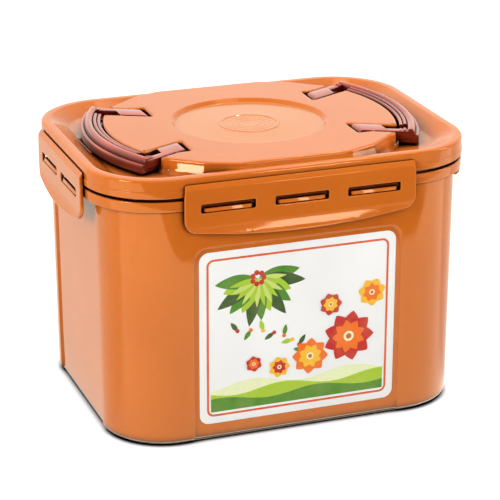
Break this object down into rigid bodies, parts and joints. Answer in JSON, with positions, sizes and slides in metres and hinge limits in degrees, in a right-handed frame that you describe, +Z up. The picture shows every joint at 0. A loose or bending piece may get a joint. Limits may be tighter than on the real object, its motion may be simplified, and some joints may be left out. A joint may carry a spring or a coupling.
{
  "type": "kimchi container",
  "caption": "Rectangular kimchi container: drafted tub, snap-flap outer lid with bail handles, and a sliding press lid with seal and vent plug.",
  "frame": {"origin": "centre of the foot, on the surface it stands on", "axes": "+Z up, +X along the long side, -Y towards the labelled front"},
  "size_m": [0.29, 0.218, 0.2006],
  "materials": {
    "clay_plastic": "glossy moulded polypropylene, terracotta orange",
    "press_plastic": "semi-gloss moulded polypropylene",
    "handle_plastic": "glossy translucent red-brown",
    "seal_silicone": "matte silicone",
    "plug_rubber": "matte silicone",
    "label_paper": "coated paper sticker"
  },
  "bodies": {
    "tub": {"tub": "clay_plastic", "label": "label_paper"},
    "lid": {"outer_lid": "clay_plastic", "lid_gasket": "seal_silicone"},
    "front_flap": {"latch_front": "clay_plastic"},
    "back_flap": {"latch_back": "clay_plastic"},
    "left_flap": {"latch_left": "clay_plastic"},
    "right_flap": {"latch_right": "clay_plastic"},
    "left_handle": {"handle_left": "handle_plastic"},
    "right_handle": {"handle_right": "handle_plastic"},
    "press": {"press_lid": "press_plastic", "press_seal": "seal_silicone"},
    "plug": {"vent_plug": "plug_rubber"}
  },
  "joints": [
    {"name": "lid_lift", "type": "slide", "parent": "tub", "child": "lid", "axis": [0, 0, 1], "range_m": [0, 0.24]},
    {"name": "front_flap_hinge", "type": "hinge", "parent": "lid", "child": "front_flap", "pos_m": [0, -0.1047, 0.1895], "axis": [-1, 0, 0], "range_deg": [0, 110]},
    {"name": "back_flap_hinge", "type": "hinge", "parent": "lid", "child": "back_flap", "pos_m": [0, 0.1047, 0.1895], "axis": [1, 0, 0], "range_deg": [0, 110]},
    {"name": "left_flap_hinge", "type": "hinge", "parent": "lid", "child": "left_flap", "pos_m": [-0.1407, 0, 0.1895], "axis": [0, 1, 0], "range_deg": [0, 110]},
    {"name": "right_flap_hinge", "type": "hinge", "parent": "lid", "child": "right_flap", "pos_m": [0.1407, 0, 0.1895], "axis": [0, -1, 0], "range_deg": [0, 110]},
    {"name": "left_handle_pivot", "type": "hinge", "parent": "lid", "child": "left_handle", "pos_m": [-0.067, 0, 0.19575], "axis": [0, 1, 0], "range_deg": [0, 110]},
    {"name": "right_handle_pivot", "type": "hinge", "parent": "lid", "child": "right_handle", "pos_m": [0.067, 0, 0.19575], "axis": [0, -1, 0], "range_deg": [0, 110]},
    {"name": "press_slide", "type": "slide", "parent": "tub", "child": "press", "axis": [0, 0, 1], "range_m": [-0.138, 0]},
    {"name": "vent_plug_pull", "type": "slide", "parent": "press", "child": "plug", "axis": [0, 0, 1], "range_m": [0, 0.014]}
  ]
}
